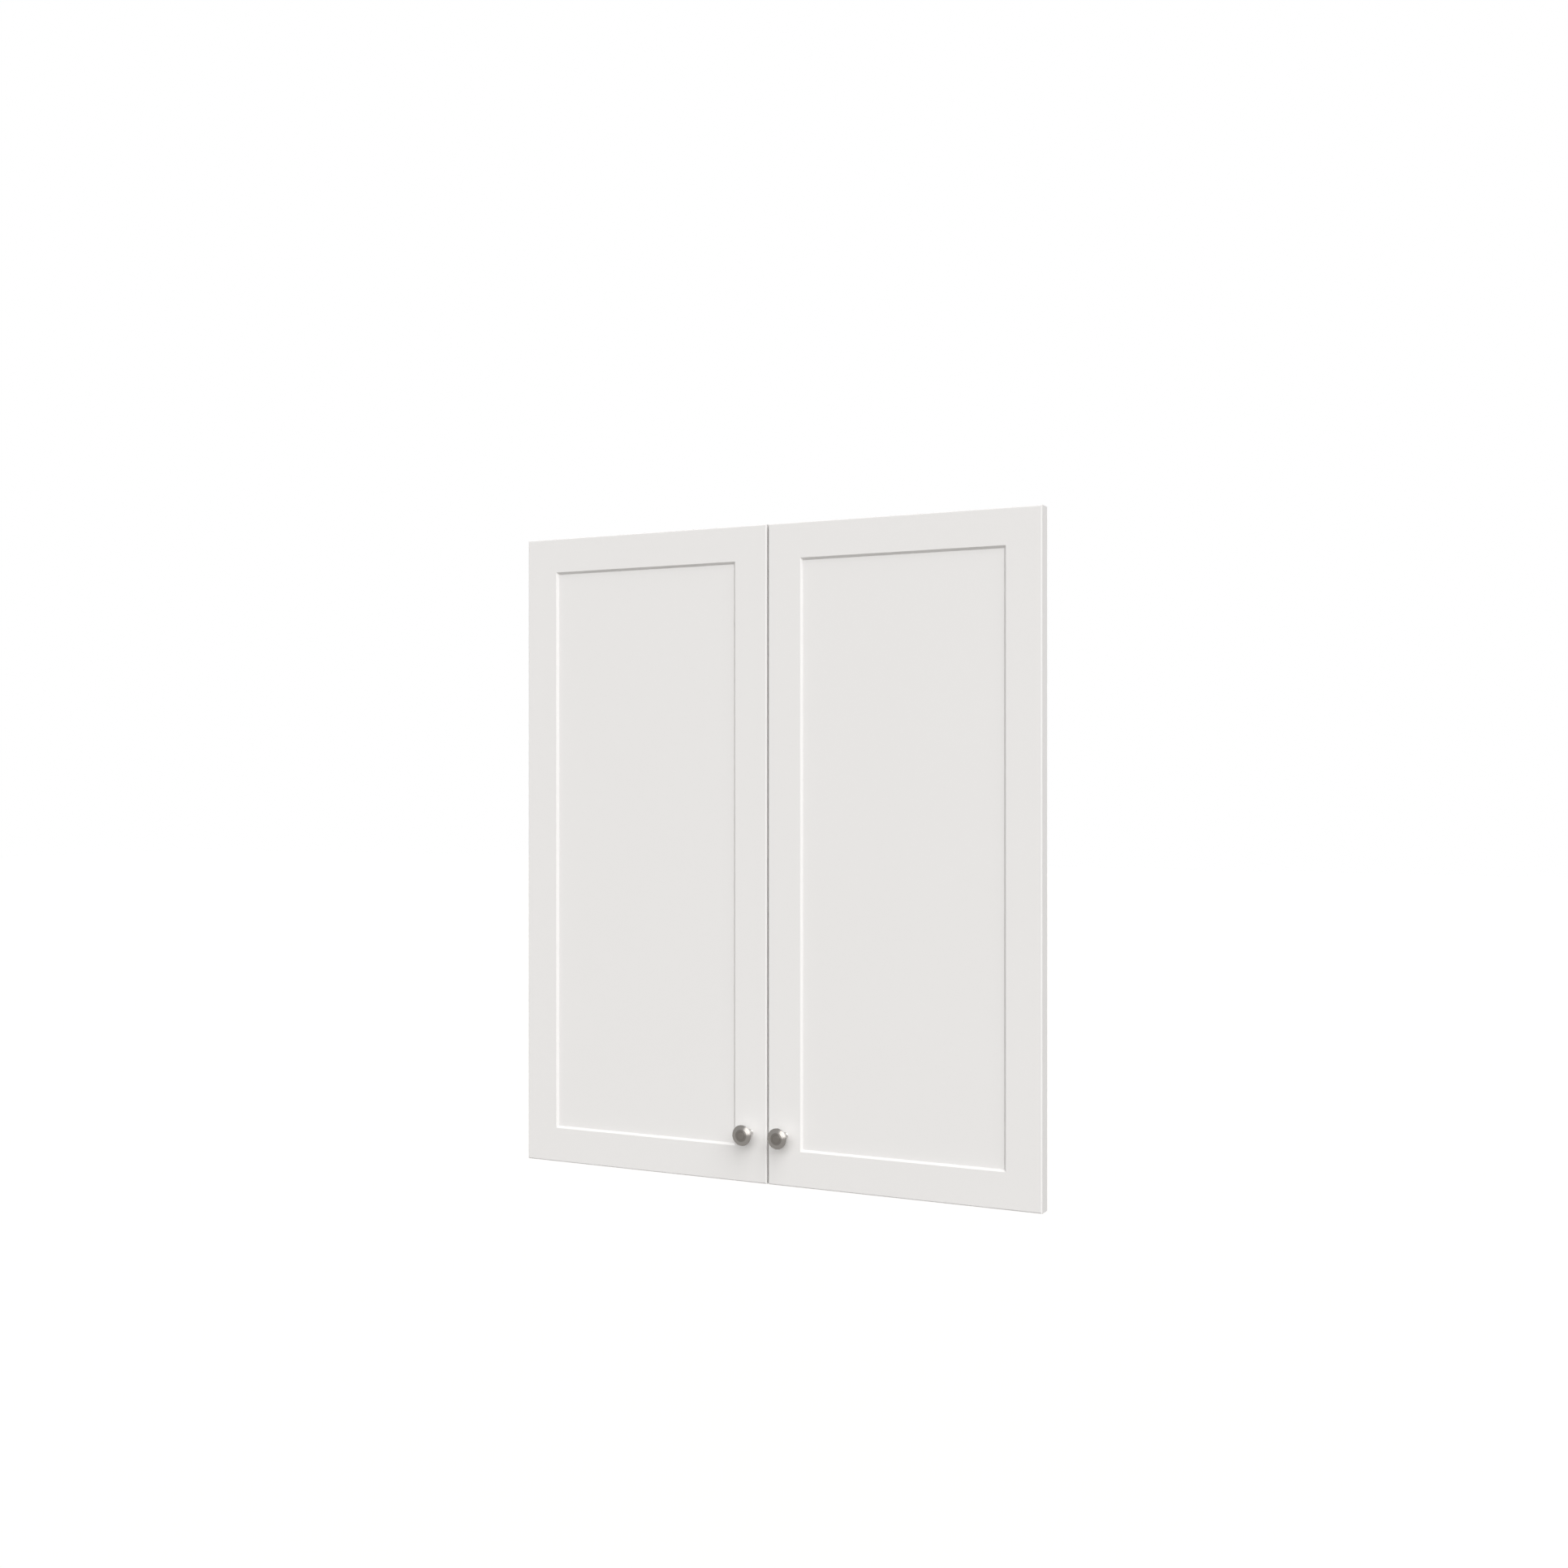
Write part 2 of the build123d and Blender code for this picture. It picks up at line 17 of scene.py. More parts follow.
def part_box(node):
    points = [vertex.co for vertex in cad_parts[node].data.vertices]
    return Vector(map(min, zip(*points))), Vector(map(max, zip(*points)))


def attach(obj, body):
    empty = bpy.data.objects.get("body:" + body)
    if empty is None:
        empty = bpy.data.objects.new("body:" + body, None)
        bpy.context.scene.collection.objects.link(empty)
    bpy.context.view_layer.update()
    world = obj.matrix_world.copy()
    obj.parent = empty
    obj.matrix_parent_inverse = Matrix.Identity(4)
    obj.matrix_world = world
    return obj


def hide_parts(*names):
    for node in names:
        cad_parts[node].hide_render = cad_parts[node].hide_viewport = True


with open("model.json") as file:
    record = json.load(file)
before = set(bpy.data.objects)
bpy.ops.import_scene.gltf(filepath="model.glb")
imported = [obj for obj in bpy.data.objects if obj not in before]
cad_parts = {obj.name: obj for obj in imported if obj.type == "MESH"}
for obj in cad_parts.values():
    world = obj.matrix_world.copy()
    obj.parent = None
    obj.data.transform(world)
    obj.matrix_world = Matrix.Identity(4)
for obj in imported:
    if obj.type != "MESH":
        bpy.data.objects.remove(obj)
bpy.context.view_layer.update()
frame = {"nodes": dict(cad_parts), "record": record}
nodes = frame["nodes"]
SIDES = ("left", "right")
LEVELS = ("lower", "upper")
MM = 0.001
print("nodes loaded:", len(nodes))

# %% [markdown]
# ## Writing node trees as plain expressions
# Finishes and shapes are both small networks of nodes. Wiring each Math node by hand hides the idea,
# so a socket is wrapped in a class whose operators add the nodes: `1 - mask * 0.3` reads like the
# formula it is. Every node comes from one method, which takes its type, its settings and its values.

# %% A socket that does sums
class Wire:
    """A node socket on which +, -, * and / add Math nodes."""

    def __init__(self, network, socket):
        self.network = network
        self.socket = socket

    def math(self, operation, *values):
        return self.network.node("ShaderNodeMath", {"operation": operation}, dict(enumerate(values)))

    def __add__(self, other):
        return self.math("ADD", self, other)

    def __radd__(self, other):
        return self.math("ADD", other, self)

    def __sub__(self, other):
        return self.math("SUBTRACT", self, other)

    def __rsub__(self, other):
        return self.math("SUBTRACT", other, self)

    def __mul__(self, other):
        return self.math("MULTIPLY", self, other)

    def __rmul__(self, other):
        return self.math("MULTIPLY", other, self)

    def __truediv__(self, other):
        return self.math("DIVIDE", self, other)

    def __rtruediv__(self, other):
        return self.math("DIVIDE", other, self)

    def sibling(self, name):
        """Another output of the node that this one comes from."""
        return Wire(self.network, self.socket.node.outputs[name])


# %% A tree that adds nodes
class Network:
    """A node tree and the one method that adds nodes to it."""

    def __init__(self, tree):
        self.tree = tree
        self.tree.nodes.clear()

    def node(self, kind, settings=None, sockets=None, output=0):
        made = self.tree.nodes.new(kind)
        for key, value in (settings or {}).items():
            setattr(made, key, value)
        for key, value in (sockets or {}).items():
            for single in value if isinstance(value, list) else [value]:
                self.feed(made.inputs[key], single)
        return Wire(self, made.outputs[output]) if made.outputs else None

    def ease(self, value, low, high):
        """0 below one value, 1 above the other, and smooth between them."""
        sockets = {"Value": value, "From Min": low, "From Max": high}
        return self.node("ShaderNodeMapRange", {"interpolation_type": "SMOOTHSTEP"}, sockets)

    def feed(self, socket, value):
        if isinstance(value, Wire):
            self.tree.links.new(value.socket, socket)
        else:
            socket.default_value = value


# %% [markdown]
# ## Finishes
# A finish is a material. Each one reads Object coordinates, which stay with the piece when its door
# swings, and feeds noise of a real size into colour, gloss and a shallow bump. A noise's scale is the
# number of its cells in a metre, and a bump's height is in millimetres.

# %% What every finish shares
class Finish(Network):
    """A material built from nodes."""

    def __init__(self, name):
        self.material = bpy.data.materials.new(name)
        self.material.use_nodes = True
        super().__init__(self.material.node_tree)

    def place(self):
        """Where a point lies on the piece, in metres."""
        return self.node("ShaderNodeTexCoord", output="Object")

    def noise(self, where, scale, detail=2.0, roughness=0.5):
        sockets = {"Vector": where, "Scale": scale, "Detail": detail, "Roughness": roughness}
        return self.node("ShaderNodeTexNoise", {}, sockets, "Fac")

    def mix(self, factor, first, second):
        return self.node("ShaderNodeMix", {"data_type": "RGBA"}, {0: factor, 6: first, 7: second}, 2)

    def bump(self, relief, height, strength):
        sockets = {"Height": relief, "Distance": height * MM, "Strength": strength}
        return self.node("ShaderNodeBump", {}, sockets, "Normal")

    def surface(self, sockets):
        self.output(self.node("ShaderNodeBsdfPrincipled", {}, sockets))
        return self.material

    def output(self, shader):
        self.node("ShaderNodeOutputMaterial", {}, {"Surface": shader})


# %% [markdown]
# ### White paint
# The doors are fibreboard under a sprayed satin lacquer. Up close it is not mirror-flat: it has the
# faint orange peel of a spray gun, a few millimetres across, and its gloss drifts a little. One flat
# colour would look like plastic, and a picture would repeat over doors this large, so three noises of
# different scales drive the colour, the gloss and the bump.

# %% White paint
PAINT_COLOUR = (0.800, 0.789, 0.779, 1.0)
PAINT_COLOUR_DEEP = (0.790, 0.778, 0.767, 1.0)
PAINT_ROUGHNESS = 0.34
DRIFT_SCALE = 7.0
PEEL_SCALE = 420.0
DUST_SCALE = 1900.0
PEEL_HEIGHT = 0.04


def white_paint():
    finish = Finish("white_paint")
    where = finish.place()
    drift = finish.noise(where, DRIFT_SCALE, 3.0)
    peel = finish.noise(where, PEEL_SCALE, 1.0)
    dust = finish.noise(where, DUST_SCALE, 2.0)
    return finish.surface({
        "Base Color": finish.mix(drift, PAINT_COLOUR, PAINT_COLOUR_DEEP),
        "Roughness": drift * 0.08 + peel * 0.05 + PAINT_ROUGHNESS,
        "Specular IOR Level": 0.3,
        "Normal": finish.bump(peel * 0.8 + dust * 0.2, PEEL_HEIGHT, 0.5),
    })


# %% [markdown]
# ### Turned nickel
# The knobs are turned on a lathe and plated. The tool leaves fine rings around the knob's axis, which
# smear a reflection outwards. Anisotropic shading could smear it too, but rings in the gloss and the
# bump also survive an export to plain textures. The distance from the axis is worked out from Object
# coordinates: both knobs stand equally far from the middle of the pair, so the absolute value of X
# serves them both.
# The flank behind the rim is painted lighter, as a painted highlight, and the sloping band in front of it
# is satin. The crowned face inside the band is painted darker still, as painted shade that stands for a
# darker reflection, with two darker grooves. Each change of tone runs between two depths behind the
# knob's front, in millimetres.

# %% Turned nickel
def middle(node):
    low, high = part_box(node)
    return (low + high) / 2


KNOB_AXIS = middle("right_knob")
KNOB_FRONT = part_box("right_knob")[0].y
# Painted highlight: the flank's colour is lighter, to stand for the highlight it catches.
NICKEL_FLANK_PAINTED_HIGHLIGHT = (0.62, 0.605, 0.59, 1.0)
NICKEL_SATIN = (0.27, 0.256, 0.242, 1.0)
# Painted shade: the face's colour is darker, to stand for a darker reflection.
NICKEL_FACE_PAINTED_SHADE = (0.168, 0.155, 0.142, 1.0)
GROOVE_COLOUR = (0.085, 0.079, 0.073, 1.0)
GROOVE_RADII = (7.8, 5.6)
GROOVE_REACH = 0.6
FACE_DEPTH = (0.60, 1.10)
FLANK_DEPTH = (3.2, 4.6)
NICKEL_ROUGHNESS = 0.13
RING_SCALE = 3200.0
RING_HEIGHT = 0.1
SMUDGE_SCALE = 160.0


def turned_nickel():
    finish = Finish("turned_nickel")
    where = finish.place()
    apart = finish.node("ShaderNodeSeparateXYZ", {}, {0: where}, "X")
    across = apart.math("ABSOLUTE", apart) - KNOB_AXIS.x
    up = apart.sibling("Z") - KNOB_AXIS.z
    depth = (apart.sibling("Y") - KNOB_FRONT) / MM
    square = across * across + up * up
    radius = square.math("SQRT", square)
    along = finish.node("ShaderNodeCombineXYZ", {}, {"X": radius})
    rings = finish.noise(along, RING_SCALE, 3.0, 0.65)
    smudge = finish.noise(where, SMUDGE_SCALE, 3.0)
    # 1 on the crowned face, where the colour is painted darker as painted shade.
    face = 1.0 - finish.ease(depth, *FACE_DEPTH)
    # 1 on the flank, where the colour is painted lighter as a painted highlight.
    flank_painted_highlight = finish.ease(depth, *FLANK_DEPTH)
    groove = 0.0
    for ring in GROOVE_RADII:
        away = radius.math("ABSOLUTE", radius - ring * MM)
        groove = groove + (1.0 - finish.ease(away, 0.0, GROOVE_REACH * MM))
    # The band's satin turns into the face's painted shade, with some random tone from the rings.
    front = finish.mix(face * 0.75 + rings * 0.25, NICKEL_SATIN, NICKEL_FACE_PAINTED_SHADE)
    grooved_with_painted_shade = finish.mix(face * groove * 0.6, front, GROOVE_COLOUR)
    return finish.surface({
        "Base Color": finish.mix(flank_painted_highlight, grooved_with_painted_shade, NICKEL_FLANK_PAINTED_HIGHLIGHT),
        "Metallic": 1.0,
        "Roughness": rings * 0.08 + smudge * 0.05 + NICKEL_ROUGHNESS,
        "Normal": finish.bump(rings, RING_HEIGHT, 0.6),
    })


print("knob axis: x", round(KNOB_AXIS.x, 4), "z", round(KNOB_AXIS.z, 4))

# %% [markdown]
# ### Hinge metals and rubber
# The hinge arms and cups are pressed steel under bright nickel, the plates are die-cast zinc, and the
# screws are zinc-plated. They differ in grain and gloss more than in colour, so one function makes
# all three from a colour, a roughness, the scale of the grain and its height. The bumpers are a clear
# rubber that lets some light through.

# %% Plated metals
METALS = {
    "nickel_plate": ((0.40, 0.39, 0.374, 1.0), 0.18, 700.0, 0.02),
    "cast_zinc": ((0.34, 0.344, 0.35, 1.0), 0.30, 1500.0, 0.06),
    "plated_steel": ((0.44, 0.448, 0.465, 1.0), 0.22, 1100.0, 0.03),
}
METAL_CLOUD_SCALE = 55.0
METAL_DULLING = 0.82


def plated_metal(name, colour, roughness, grain_scale, grain_height):
    finish = Finish(name)
    where = finish.place()
    speckle = finish.noise(where, grain_scale, 3.0)
    cloud = finish.noise(where, METAL_CLOUD_SCALE, 2.0)
    dull = tuple(channel * METAL_DULLING for channel in colour[:3]) + (1.0,)
    return finish.surface({
        "Base Color": finish.mix(cloud, colour, dull),
        "Metallic": 1.0,
        "Roughness": speckle * 0.14 + cloud * 0.08 + roughness,
        "Normal": finish.bump(speckle, grain_height, 0.5),
    })


# %% Clear rubber
RUBBER_COLOUR = (0.90, 0.90, 0.88, 1.0)
RUBBER_COLOUR_DEEP = (0.82, 0.82, 0.79, 1.0)
RUBBER_ROUGHNESS = 0.3
RUBBER_GRAIN_SCALE = 900.0
RUBBER_GRAIN_HEIGHT = 0.03
RUBBER_CLOUD_SCALE = 240.0


def clear_rubber():
    finish = Finish("clear_rubber")
    where = finish.place()
    speckle = finish.noise(where, RUBBER_GRAIN_SCALE, 2.0)
    cloud = finish.noise(where, RUBBER_CLOUD_SCALE, 2.0)
    return finish.surface({
        "Base Color": finish.mix(cloud, RUBBER_COLOUR, RUBBER_COLOUR_DEEP),
        "Roughness": speckle * 0.2 + RUBBER_ROUGHNESS,
        "Transmission Weight": 0.6,
        "IOR": 1.45,
        "Normal": finish.bump(speckle, RUBBER_GRAIN_HEIGHT, 0.4),
    })


# %% All finishes, by the slot that takes them
FINISHES = {
    "white_paint": white_paint(),
    "satin_nickel": turned_nickel(),
    "clear_rubber": clear_rubber(),
}
for slot, settings in METALS.items():
    FINISHES[slot] = plated_metal(slot, *settings)
print("finishes:", ", ".join(FINISHES))

# %% [markdown]
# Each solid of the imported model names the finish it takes, so the record decides which goes where.

# %% Put each finish on its solids
SLOTS = {entry["node"]: entry["material_slot"] for entry in frame["record"]["subparts"]}


def dress(piece, slot):
    piece.data.materials.clear()
    piece.data.materials.append(FINISHES[slot])


for node, slot in SLOTS.items():
    dress(nodes[node], slot)
print("solids dressed:", len(SLOTS))

# %% [markdown]
# ## Pieces made here
# A piece made here stands for one or more solids, which are then hidden. It rides on the body that
# they belong to, and it takes its finish from their slot.

# %% How a piece takes the place of solids
BODIES = {node: name for name, body in frame["record"]["behaviour"]["bodies"].items() for node in body}


def add_piece(name, mesh, node):
    piece = bpy.data.objects.new(name, mesh)
    bpy.context.collection.objects.link(piece)
    dress(piece, SLOTS[node])
    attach(piece, BODIES[node])
    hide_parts(node)
    return piece


print("bodies:", ", ".join(sorted(set(BODIES.values()))))

# %% [markdown]
# ## Geometry Nodes from Python
# A Geometry Nodes tree gets its named inputs first, then its nodes. A modifier sets the inputs by
# their identifiers and runs the tree on a small base mesh. The result is kept as a plain mesh, which
# any export understands, and the helper object goes away with its modifier.

# %% A shape tree
class Shape(Network):
    """A Geometry Nodes tree with named inputs."""

    def __init__(self, name, inputs):
        super().__init__(bpy.data.node_groups.new(name, "GeometryNodeTree"))
        face = self.tree.interface
        face.new_socket("Geometry", in_out="OUTPUT", socket_type="NodeSocketGeometry")
        self.sockets = {}
        for key, kind in inputs.items():
            self.sockets[key] = face.new_socket(key, in_out="INPUT", socket_type=kind).identifier
        self.entry = self.node("NodeGroupInput")

    def given(self, name):
        return self.entry.sibling(name)

    def result(self, wire):
        whole = self.node("GeometryNodeRealizeInstances", {}, {"Geometry": wire})
        sockets = {"Geometry": whole, "Material": self.given("Finish")}
        self.node("NodeGroupOutput", {}, {0: self.node("GeometryNodeSetMaterial", {}, sockets)})

    def make(self, base, values):
        helper = bpy.data.objects.new("helper", base)
        bpy.context.collection.objects.link(helper)
        modifier = helper.modifiers.new("shape", "NODES")
        modifier.node_group = self.tree
        for key, value in values.items():
            modifier[self.sockets[key]] = value
        graph = bpy.context.evaluated_depsgraph_get()
        mesh = bpy.data.meshes.new_from_object(helper.evaluated_get(graph))
        bpy.data.objects.remove(helper)
        return mesh


# %% [markdown]
# ### A lathe
# A turned piece is one profile spun round an axis. Blender's Spin tool or a Screw modifier could do it.
# A tree is used because knobs, bumpers and screws can then share it, with the profile and the number of
# turns as its inputs. The base mesh holds the profile's points, with the radius in X and the height
# in Z. A grid supplies one column of points per turn: a point's number, divided by the profile's length,
# says which turn it belongs to and which profile point it copies.

# %% The lathe tree
LATHE_WELD = 0.0005


def lathe_tree():
    shape = Shape("lathe", {
        "Profile": "NodeSocketGeometry",
        "Turns": "NodeSocketInt",
        "Finish": "NodeSocketMaterial",
    })
    profile = shape.given("Profile")
    turns = shape.given("Turns")
    domain = "GeometryNodeAttributeDomainSize"
    count = shape.node(domain, {"component": "MESH"}, {0: profile}, "Point Count")
    grid = shape.node("GeometryNodeMeshGrid", {}, {"Vertices X": turns + 1, "Vertices Y": count}, "Mesh")
    number = shape.node("GeometryNodeInputIndex")
    step = number.math("MODULO", number, count)
    turn = number.math("FLOOR", (number + 0.5) / count)
    where = shape.node("GeometryNodeInputPosition")
    sockets = {0: profile, "Value": where, "Index": step}
    copied = shape.node("GeometryNodeSampleIndex", {"data_type": "FLOAT_VECTOR"}, sockets)
    radius = shape.node("ShaderNodeSeparateXYZ", {}, {0: copied}, "X")
    angle = turn * (2 * pi) / turns
    place = shape.node("ShaderNodeCombineXYZ", {}, {
        "X": radius * angle.math("COSINE", angle),
        "Y": radius * angle.math("SINE", angle),
        "Z": radius.sibling("Z"),
    })
    spun = shape.node("GeometryNodeSetPosition", {}, {"Geometry": grid, "Position": place})
    closed = shape.node("GeometryNodeMergeByDistance", {}, {"Geometry": spun, "Distance": LATHE_WELD})
    shape.result(closed)
    return shape


LATHE = lathe_tree()
print("nodes in the lathe:", len(LATHE.tree.nodes))


# %% Turned meshes
def turned(points, finish, turns):
    """Mesh, in millimetres, of a profile spun round Z."""
    base = bpy.data.meshes.new("profile")
    base.from_pydata([(radius, 0.0, height) for radius, height in points], [], [])
    mesh = LATHE.make(base, {"Turns": turns, "Finish": finish})
    work = bmesh.new()
    work.from_mesh(mesh)
    bmesh.ops.recalc_face_normals(work, faces=work.faces)
    work.to_mesh(mesh)
    work.free()
    return mesh


def smooth(mesh, angle):
    mesh.shade_smooth()
    mesh.set_sharp_from_angle(angle=radians(angle))


# %% [markdown]
# ### The knobs
# The profile climbs from a small foot along the cone to the rim. From there a rule gives the height
# at each radius: a sloping band, then a crowned face, with two grooves and some shallow tool marks cut
# into them. With a rule, a groove is one more entry in a list instead of a row of points. All points are
# a radius and a height in millimetres, and a rounding adds its own radius.

# %% The knob's front
BAND_OUTER = (14.11, 25.60)
BAND_INNER = (8.2, 27.85)
BAND_BULGE = 0.20
KNOB_TOP = 28.65
GROOVE_HALF_WIDTH = 0.70
GROOVE_DEPTH = 0.07
TOOL_MARKS = ((12.4, 0.6, 0.018), (10.4, 0.6, 0.024), (3.2, 0.5, 0.012))
KNOB_CUTS = tuple((radius, GROOVE_HALF_WIDTH, GROOVE_DEPTH) for radius in GROOVE_RADII) + TOOL_MARKS


def knob_front_height(radius):
    outer, outer_height = BAND_OUTER
    inner, inner_height = BAND_INNER
    if radius > inner:
        share = (outer - radius) / (outer - inner)
        straight = outer_height + (inner_height - outer_height) * share
        height = straight + 4 * BAND_BULGE * share * (1 - share)
    else:
        height = KNOB_TOP - (KNOB_TOP - inner_height) * (radius / inner) ** 2
    for middle_radius, half_width, depth in KNOB_CUTS:
        away = radius - middle_radius
        if abs(away) < half_width:
            height -= depth * (0.5 + 0.5 * cos(pi * away / half_width))
    return height


print("height of the knob's front at its middle:", knob_front_height(0.0), "mm")

# %% The knob's whole profile
FOOT_ROUNDING = (4.9, 0.3, 0.3)
SHOULDER_ROUNDING = (4.8, 1.0, 0.4)
NECK_POINTS = [(4.66, 2.0), (4.60, 2.7), (4.62, 3.4), (4.86, 4.4)]
CONE_START = (4.6, 3.4)
CONE_SPREAD = 9.5
CONE_RISE = 21.2
CONE_HOLLOW = 0.25
CONE_STEPS = 12
RIM_ROUNDING = (13.9, 25.15, 0.5)
FRONT_STEP = 0.05
FRONT_STEPS = 282


def arc(rounding, start, end, steps):
    """Points round part of a circle, between two angles in degrees."""
    across, up, radius = rounding
    angles = [radians(start + (end - start) * step / steps) for step in range(steps + 1)]
    return [(across + radius * cos(angle), up + radius * sin(angle)) for angle in angles]


def knob_profile():
    points = [(0.0, 0.0), (FOOT_ROUNDING[0], 0.0)]
    points += arc(FOOT_ROUNDING, -80, 0, 4) + arc(SHOULDER_ROUNDING, 0, 70, 5) + NECK_POINTS
    for step in range(2, CONE_STEPS):
        share = step / CONE_STEPS
        radius = CONE_START[0] + CONE_SPREAD * share - CONE_HOLLOW * sin(pi * share)
        points.append((radius, CONE_START[1] + CONE_RISE * share))
    points += arc(RIM_ROUNDING, -66, 62, 10)
    radii = [FRONT_STEP * step for step in range(FRONT_STEPS, -1, -1)]
    return points + [(radius, knob_front_height(radius)) for radius in radii]


print("points in the profile:", len(knob_profile()))

# %% Knobs
KNOB_TURNS = 144
TURNED_SHARP_ANGLE = 50


def make_knob(side):
    node = f"{side}_knob"
    mesh = turned(knob_profile(), FINISHES["satin_nickel"], KNOB_TURNS)
    foot = Vector((middle(node).x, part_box(node)[1].y, middle(node).z))
    mesh.transform(Matrix.Translation(foot) @ Matrix.Rotation(pi / 2, 4, "X") @ Matrix.Scale(MM, 4))
    smooth(mesh, TURNED_SHARP_ANGLE)
    return add_piece(f"{side}_turned_knob", mesh, node)


for side in SIDES:
    print(make_knob(side).name)

# %% [markdown]
# ### The bumpers
# A bumper is a soft clear button stuck to the back of the door: a flat base, a rounded shoulder and a
# low dome. The same lathe turns it, and the two of one door become one mesh.

# %% Bumpers
BUMPER_RADIUS = 5.0
BUMPER_HEIGHT = 2.0
BUMPER_BASE = [(0.0, 0.0), (BUMPER_RADIUS - 0.2, 0.0), (BUMPER_RADIUS, 0.25)]
BUMPER_ROUNDING = (BUMPER_RADIUS - 1.2, 0.4, 1.2)
BUMPER_DOME_RADIUS = 3.9
BUMPER_DOME_FALL = 0.4
BUMPER_DOME_STEPS = 10
BUMPER_TURNS = 48


def bumper_profile():
    points = BUMPER_BASE + arc(BUMPER_ROUNDING, 5, 75, 8)
    for step in range(BUMPER_DOME_STEPS - 1, -1, -1):
        radius = BUMPER_DOME_RADIUS * step / BUMPER_DOME_STEPS
        fall = BUMPER_DOME_FALL * (radius / BUMPER_DOME_RADIUS) ** 2
        points.append((radius, BUMPER_HEIGHT - fall))
    return points


def make_bumpers(side):
    node = f"{side}_bumpers"
    low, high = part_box(node)
    work = bmesh.new()
    for height in (low.z + BUMPER_RADIUS * MM, high.z - BUMPER_RADIUS * MM):
        mesh = turned(bumper_profile(), FINISHES["clear_rubber"], BUMPER_TURNS)
        centre = Vector(((low.x + high.x) / 2, low.y, height))
        mesh.transform(Matrix.Translation(centre) @ Matrix.Rotation(-pi / 2, 4, "X") @ Matrix.Scale(MM, 4))
        work.from_mesh(mesh)
    both = bpy.data.meshes.new(node)
    work.to_mesh(both)
    work.free()
    smooth(both, TURNED_SHARP_ANGLE)
    return add_piece(f"{side}_bumper_buttons", both, node)


for side in SIDES:
    print(make_bumpers(side).name)

# %% [markdown]
# ### The screws
# All screws are one turned blank with a cross recess cut into its domed head. They could be placed one
# by one, but a tree treats every screw alike and needs only a list of seats. This second tree cuts the
# recess, puts a copy on every seat, points it along the screw's axis and gives it its own turn, as a
# screwdriver leaves them. The seed is fixed, so the turns are the same each time. A screw's size is its
# head's radius and height, then its shank's radius and length, in millimetres.

# %% The screw tree
def screw_tree():
    shape = Shape("screws", {
        "Seats": "NodeSocketGeometry",
        "Blank": "NodeSocketObject",
        "Head height": "NodeSocketFloat",
        "Recess reach": "NodeSocketFloat",
        "Recess width": "NodeSocketFloat",
        "Recess depth": "NodeSocketFloat",
        "Axis": "NodeSocketVector",
        "Seed": "NodeSocketInt",
        "Finish": "NodeSocketMaterial",
    })
    blank = shape.node("GeometryNodeObjectInfo", {}, {"Object": shape.given("Blank")}, "Geometry")
    reach, width, depth = (shape.given("Recess " + word) for word in ("reach", "width", "depth"))
    top = shape.node("ShaderNodeCombineXYZ", {}, {"Z": shape.given("Head height")})
    wings = []
    for x, y in ((reach, width), (width, reach)):
        size = shape.node("ShaderNodeCombineXYZ", {}, {"X": x * 2, "Y": y * 2, "Z": depth * 2})
        wing = shape.node("GeometryNodeMeshCube", {}, {"Size": size}, "Mesh")
        wings.append(shape.node("GeometryNodeTransform", {}, {"Geometry": wing, "Translation": top}))
    meshes = {"Mesh 1": blank, "Mesh 2": wings}
    cut = shape.node("GeometryNodeMeshBoolean", {"operation": "DIFFERENCE"}, meshes)
    along = shape.node("FunctionNodeAlignRotationToVector", {"axis": "Z"}, {"Vector": shape.given("Axis")})
    chance = {2: 0.0, 3: 2 * pi, "Seed": shape.given("Seed")}
    spin = shape.node("FunctionNodeRandomValue", {"data_type": "FLOAT"}, chance, 1)
    own = shape.node("FunctionNodeAxisAngleToRotation", {}, {"Axis": (0.0, 0.0, 1.0), "Angle": spin})
    facing = shape.node("FunctionNodeRotateRotation", {"rotation_space": "LOCAL"}, {0: along, 1: own})
    sockets = {"Points": shape.given("Seats"), "Instance": cut, "Rotation": facing, "Scale": (MM, MM, MM)}
    shape.result(shape.node("GeometryNodeInstanceOnPoints", {}, sockets))
    return shape


SCREWS = screw_tree()
print("nodes in the screw tree:", len(SCREWS.tree.nodes))

# %% Screw blanks
SCREW_SIZES = {
    "cup_screws": (3.6, 1.8, 1.6, 12.9),
    "knob_screw": (4.2, 2.4, 2.0, 31.7),
    "clamp_screws": (4.2, 2.4, 2.5, 6.6),
    "adjusting_screws": (3.3, 1.6, 2.0, 6.1),
}
TIP_SHARE = 0.7
TIP_RISE = 0.1
HEAD_FILLET = 0.15
HEAD_CHAMFER = 0.12
HEAD_WALL_SHARE = 0.4
HEAD_FULLNESS = 0.75


def screw_profile(head, height, shank, length):
    wall = height * HEAD_WALL_SHARE
    points = [(0.0, -length), (shank * TIP_SHARE, -length + TIP_RISE), (shank, -length + shank / 2)]
    points += [(shank, -HEAD_FILLET), (shank + HEAD_FILLET, 0.0)]
    points += [(head - HEAD_CHAMFER, 0.0), (head, HEAD_CHAMFER), (head, wall)]
    for degrees in range(10, 100, 10):
        angle = radians(degrees)
        points.append((head * cos(angle) ** HEAD_FULLNESS, wall + (height - wall) * sin(angle)))
    return points + [(0.0, height)]


print("kinds of screw:", ", ".join(SCREW_SIZES))

# %% Where the screws sit
EAR_REACH = 22.5


def door_seats(side, kind, height):
    node = f"{side}_{kind}"
    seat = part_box(node)[1].y - height * MM
    x = middle(node).x
    if kind == "knob_screw":
        return [(x, seat, middle(node).z)]
    cups = [middle(f"{side}_{level}_hinge_cup").z for level in LEVELS]
    return [(x, seat, cup + ear * MM) for cup in cups for ear in (-EAR_REACH, EAR_REACH)]


